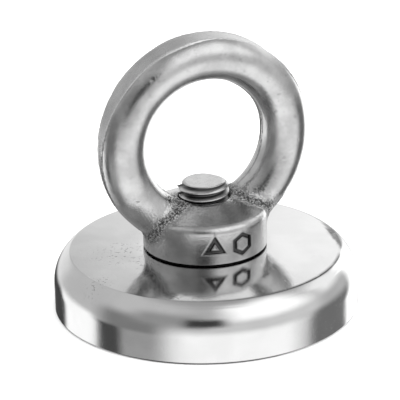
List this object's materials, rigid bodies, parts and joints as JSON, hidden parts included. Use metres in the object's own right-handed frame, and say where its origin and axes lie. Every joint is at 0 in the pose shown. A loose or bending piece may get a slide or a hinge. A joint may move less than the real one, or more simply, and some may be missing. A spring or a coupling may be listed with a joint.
{
  "type": "magnet fishing magnet",
  "caption": "Round pot magnet with a forged eye nut, lowered on a rope to recover steel objects from water.",
  "frame": {"origin": "centre of the open magnetic face, which is the lowest face", "axes": "+Z from the magnetic face towards the eye, along the screw; the eye stands in the XZ plane, so +Y runs through its hole"},
  "size_m": [0.048, 0.048, 0.0444],
  "materials": {
    "nickel_pot": "bright nickel plate on turned steel",
    "magnet_nickel": "nickel plate on sintered magnet",
    "bond_resin": "cured adhesive film",
    "potting_resin": "cured black resin",
    "screw_steel": "plain steel, machined",
    "forged_steel": "forged, tumbled and plated, satin"
  },
  "bodies": {
    "pot": {"steel_cup": "nickel_pot", "ring_magnet": "magnet_nickel", "magnet_bond": "bond_resin", "potting_ring": "potting_resin"},
    "screw": {"countersunk_screw": "screw_steel"},
    "eye": {"eye_nut": "forged_steel"}
  },
  "joints": [
    {"name": "screw_turn", "type": "hinge", "parent": "pot", "child": "screw", "pos_m": [0, 0, 0.005], "axis": [0, 0, -1], "range_deg": [0, 2880]},
    {"name": "eye_travel", "type": "slide", "parent": "pot", "child": "eye", "axis": [0, 0, 1], "range_m": [0, 0.01]}
  ],
  "couplings": [
    {"joint": "screw_turn", "follows": "eye_travel", "rad_per_m": 5026.5}
  ]
}
